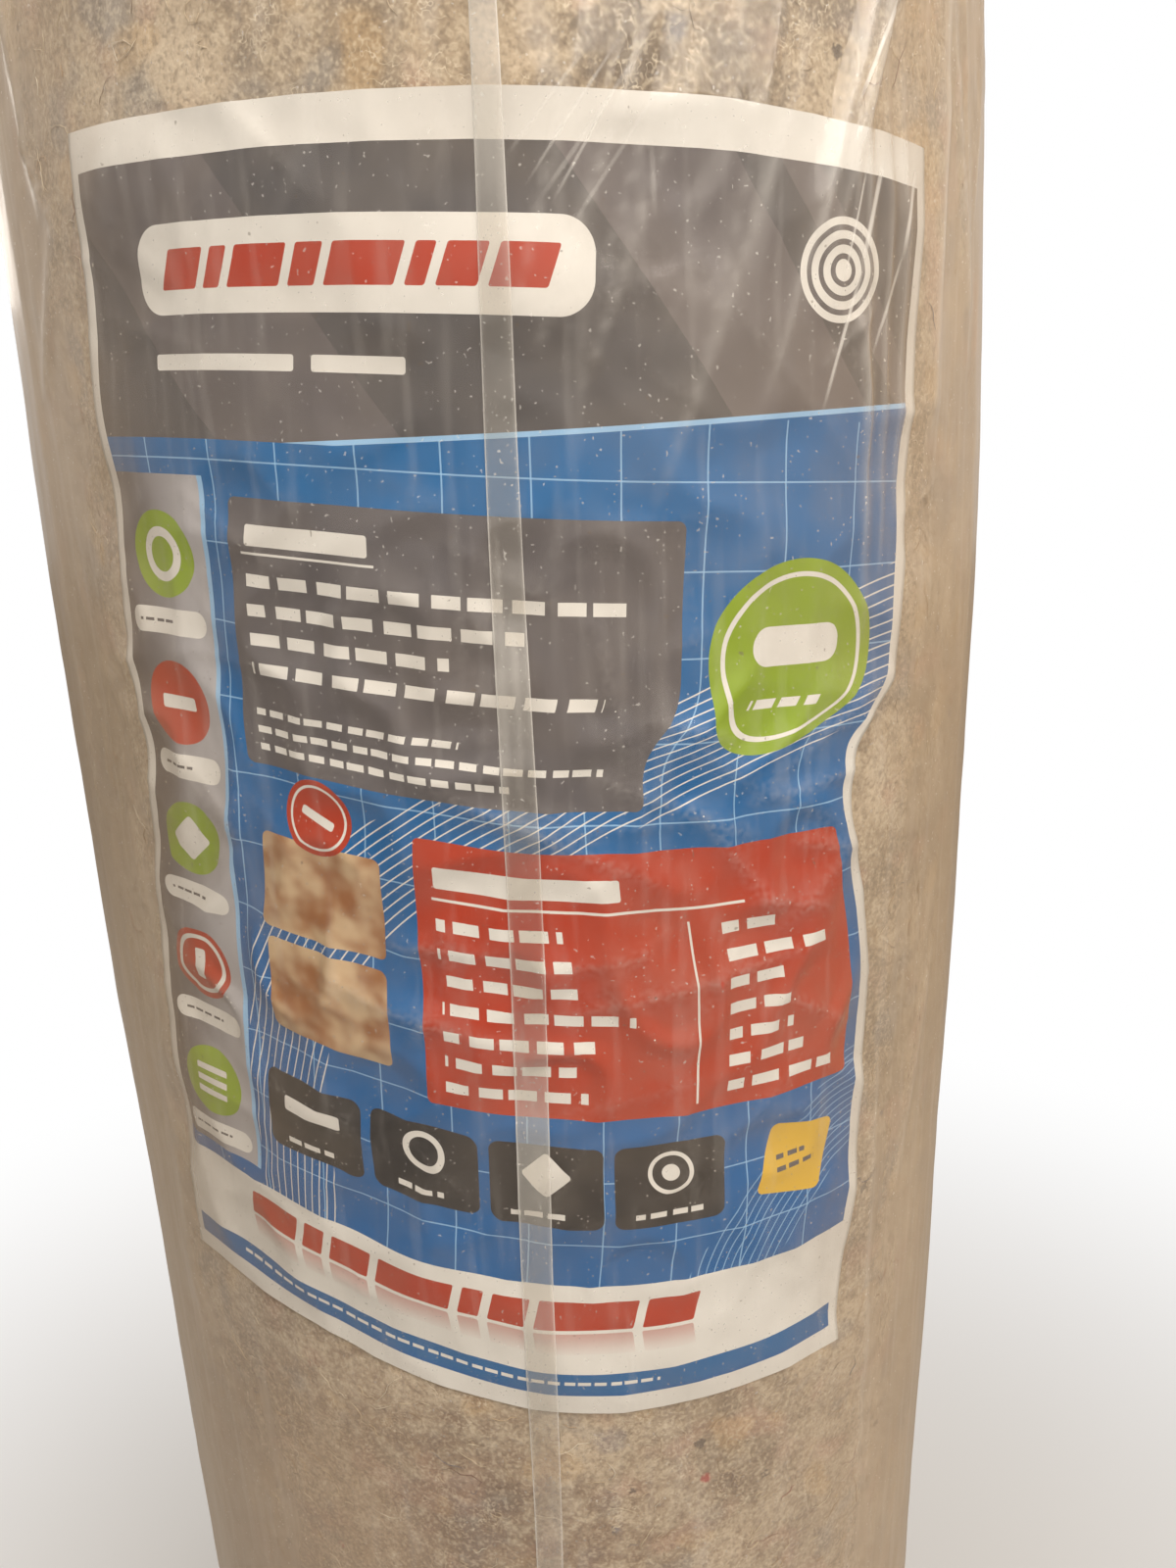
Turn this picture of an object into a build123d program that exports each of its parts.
from build123d import *
import math
import os

# Insulation roll: a multi-layer blanket faced with recycled wool felt, wound without a core
# and packed in a sleeve of clear film, with a printed paper sheet slipped in at the front.
# It stands on its end. +Z runs up the axis of the roll, -Y is the front, millimetres.

# The wound blanket
roll_length = 1500.0          # width of the blanket, and so the height of the standing roll
roll_diameter = 400.0
bore_diameter = 60.0
turn_thickness = 12.5         # a blanket of 25 mm nominal, pressed to half by the winding
groove_width = 5.0            # at the mouth, between the ends of two turns
groove_depth = 6.0
bore_lip = 4.0                # bevel at each mouth of the bore
shoulder_bevel = 8.0          # outer edge, drawn in by the pull of the film

# The sleeve, one turn of film closed by a weld along its length
film_thickness = 0.2
film_clearance = 1.6          # slack between the felt and the film round the side
film_seat = 0.3               # gap between the felt and the film where it is drawn over an end
eye_diameter = 290.0          # round opening that the shrunk film leaves at each end

# The fin of the weld, two plies of film folded flat against the sleeve
fin_width = 11.0
fin_root = 1.5                # width of the welded root
fin_gap = 0.3                 # between the sleeve and the folded flap
fin_angle = 1.5               # degrees from the front towards +X, to the root's near edge

# The printed sheet between the felt and the film, as wide as an A3 page
label_width = 297.0
label_height = 450.0
label_thickness = 0.25
label_clearance = 0.6         # between the felt and the back of the paper
label_below_top = 95.0        # from the top of the roll to the middle of the sheet's upper edge
label_tilt = 3.0              # degrees clockwise, seen from the front

# Sizes that follow
roll_radius = roll_diameter / 2
bore_radius = bore_diameter / 2
eye_radius = eye_diameter / 2
turns = round((roll_radius - bore_radius) / turn_thickness)
turn_pitch = (roll_radius - bore_radius) / turns
pressed_height = film_seat + film_thickness    # how far the film holds the outer turns back
film_inner = roll_radius + film_clearance
film_outer = film_inner + film_thickness


def land_height(inner_radius):
    """Height above the foot of the turn that starts at this radius: the film holds it back
    where the turn reaches past the eye."""
    return pressed_height if inner_radius + turn_pitch > eye_radius else 0.0


# Half of the blanket's section, from the foot to mid height. Each turn ends in a flat land,
# with a V groove to the next, and the outermost turn in a bevelled shoulder.
section_middle = roll_length / 2
foot_points = [
    (bore_radius, section_middle),
    (bore_radius, bore_lip),
    (bore_radius + bore_lip, land_height(bore_radius)),
]
for number in range(1, turns):
    groove_radius = bore_radius + turn_pitch * number
    inner_land = land_height(groove_radius - turn_pitch)
    outer_land = land_height(groove_radius)
    foot_points += [
        (groove_radius - groove_width / 2, inner_land),
        (groove_radius, outer_land + groove_depth),
        (groove_radius + groove_width / 2, outer_land),
    ]
foot_points += [
    (roll_radius - shoulder_bevel, pressed_height),
    (roll_radius, pressed_height + shoulder_bevel),
    (roll_radius, section_middle),
]

with BuildPart() as insulation_roll:
    with BuildSketch(Plane.XZ):
        with BuildLine():
            Polyline(*foot_points, close=True)
        make_face()
        mirror(about=Plane.XZ.offset(-section_middle))
    revolve(axis=Axis.Z)
insulation_roll.part.label = "insulation_roll"

# The sleeve: half of its section is a thin strip that runs up the side, over the shoulder
# and in across the outer turns to the eye. The fin is an L laid flat: a root that stands on
# the sleeve and a flap that lies beside it, along the straight of the side.
bevel_start = roll_radius - shoulder_bevel
film_bevel = film_inner - bevel_start
fin_length = roll_length - 2 * (film_bevel + 2 * film_thickness)
fin_flap_inner = film_outer + fin_gap
fin_flap_outer = fin_flap_inner + 2 * film_thickness
film_plane = Plane(
    origin=(0, 0, (roll_length - fin_length) / 2),
    x_dir=Vector(1, 0, 0).rotate(Axis.Z, fin_angle),
    z_dir=(0, 0, 1),
)

with BuildPart() as film_sleeve:
    with BuildSketch(Plane.XZ):
        with BuildLine():
            Polyline(
                (eye_radius, 0),
                (bevel_start, 0),
                (film_outer, film_bevel + film_thickness),
                (film_outer, section_middle),
                (film_inner, section_middle),
                (film_inner, film_thickness + film_bevel),
                (bevel_start, film_thickness),
                (eye_radius, film_thickness),
                close=True,
            )
        make_face()
        mirror(about=Plane.XZ.offset(-section_middle))
    revolve(axis=Axis.Z)
    with BuildSketch(film_plane):
        with BuildLine():
            root_inner = film_inner + film_thickness / 2
            Polyline(
                (0, -root_inner),
                (fin_root, -root_inner),
                (fin_root, -fin_flap_inner),
                (fin_width, -fin_flap_inner),
                (fin_width, -fin_flap_outer),
                (0, -fin_flap_outer),
                close=True,
            )
        make_face()
    extrude(amount=fin_length)
film_sleeve.part.label = "film_sleeve"

# The sheet: cut from a thin ring round the roll. Its outline is a flat upright rectangle,
# turned a little and rolled round the felt, as it is seen from straight in front.
label_inner = roll_radius + label_clearance
label_outer = label_inner + label_thickness
label_middle = roll_length - label_below_top - label_height / 2
half_width = label_width / 2
half_height = label_height / 2


def seen_from_front(across, up):
    """Where a point of the flat sheet comes to lie: its way across runs round the roll."""
    turned = Vector(across, up, 0).rotate(Axis.Z, -label_tilt)
    return (label_inner * math.sin(turned.X / label_inner), label_middle + turned.Y)


def edge_points(start, end):
    """Five points along one straight edge of the flat sheet, rolled round the felt."""
    return [
        seen_from_front(
            start[0] + (end[0] - start[0]) * step / 4,
            start[1] + (end[1] - start[1]) * step / 4,
        )
        for step in range(5)
    ]


corners = [
    (-half_width, -half_height),
    (half_width, -half_height),
    (half_width, half_height),
    (-half_width, half_height),
]

with BuildPart() as label_sheet:
    with BuildSketch(Plane.XY.offset(label_middle - label_height)):
        Circle(label_outer)
        Circle(label_inner, mode=Mode.SUBTRACT)
    extrude(amount=2 * label_height)
    with BuildSketch(Plane.XZ):
        with BuildLine():
            for start, end in zip(corners, corners[1:] + corners[:1]):
                Spline(*edge_points(start, end))
        make_face()
    extrude(amount=2 * label_outer, mode=Mode.INTERSECT)
label_sheet.part.label = "label_sheet"

os.makedirs("parts", exist_ok=True)
for piece in (insulation_roll, film_sleeve, label_sheet):
    export_step(piece.part, f"parts/{piece.part.label}.step")
